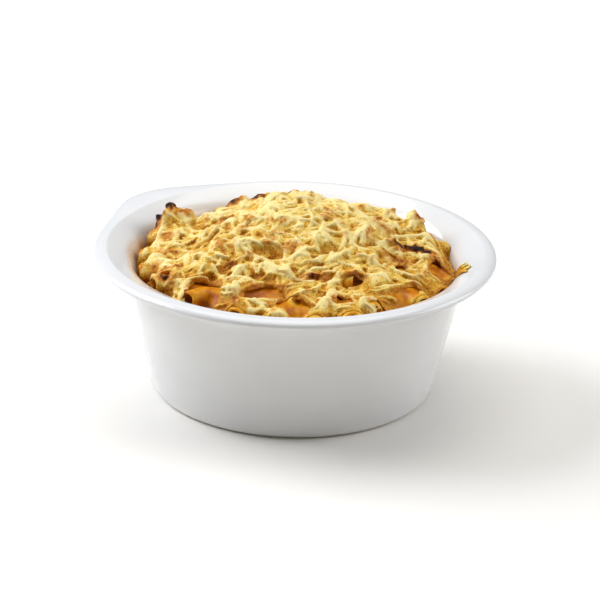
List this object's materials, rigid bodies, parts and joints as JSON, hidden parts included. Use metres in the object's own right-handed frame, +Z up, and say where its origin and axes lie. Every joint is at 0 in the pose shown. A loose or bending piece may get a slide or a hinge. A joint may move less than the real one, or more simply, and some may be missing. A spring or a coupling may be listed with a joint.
{
  "type": "macaroni cheese in an oven dish",
  "caption": "Round white oven dish with a rolled rim and a tab ear, filled and heaped with baked macaroni under a browned grated-cheese topping.",
  "frame": {"origin": "middle of the dish's foot, on the surface it stands on", "axes": "+Z up out of the dish, +Y towards the back of the view, +X to the right; the tab ear points back and left"},
  "size_m": [0.164, 0.164, 0.0743],
  "materials": {
    "white_glaze": "glossy white glaze on stoneware",
    "baked_macaroni": null,
    "melted_cheese": null
  },
  "bodies": {
    "root": {"dish": "white_glaze", "macaroni": "baked_macaroni", "cheese_topping": "melted_cheese"}
  },
  "joints": []
}
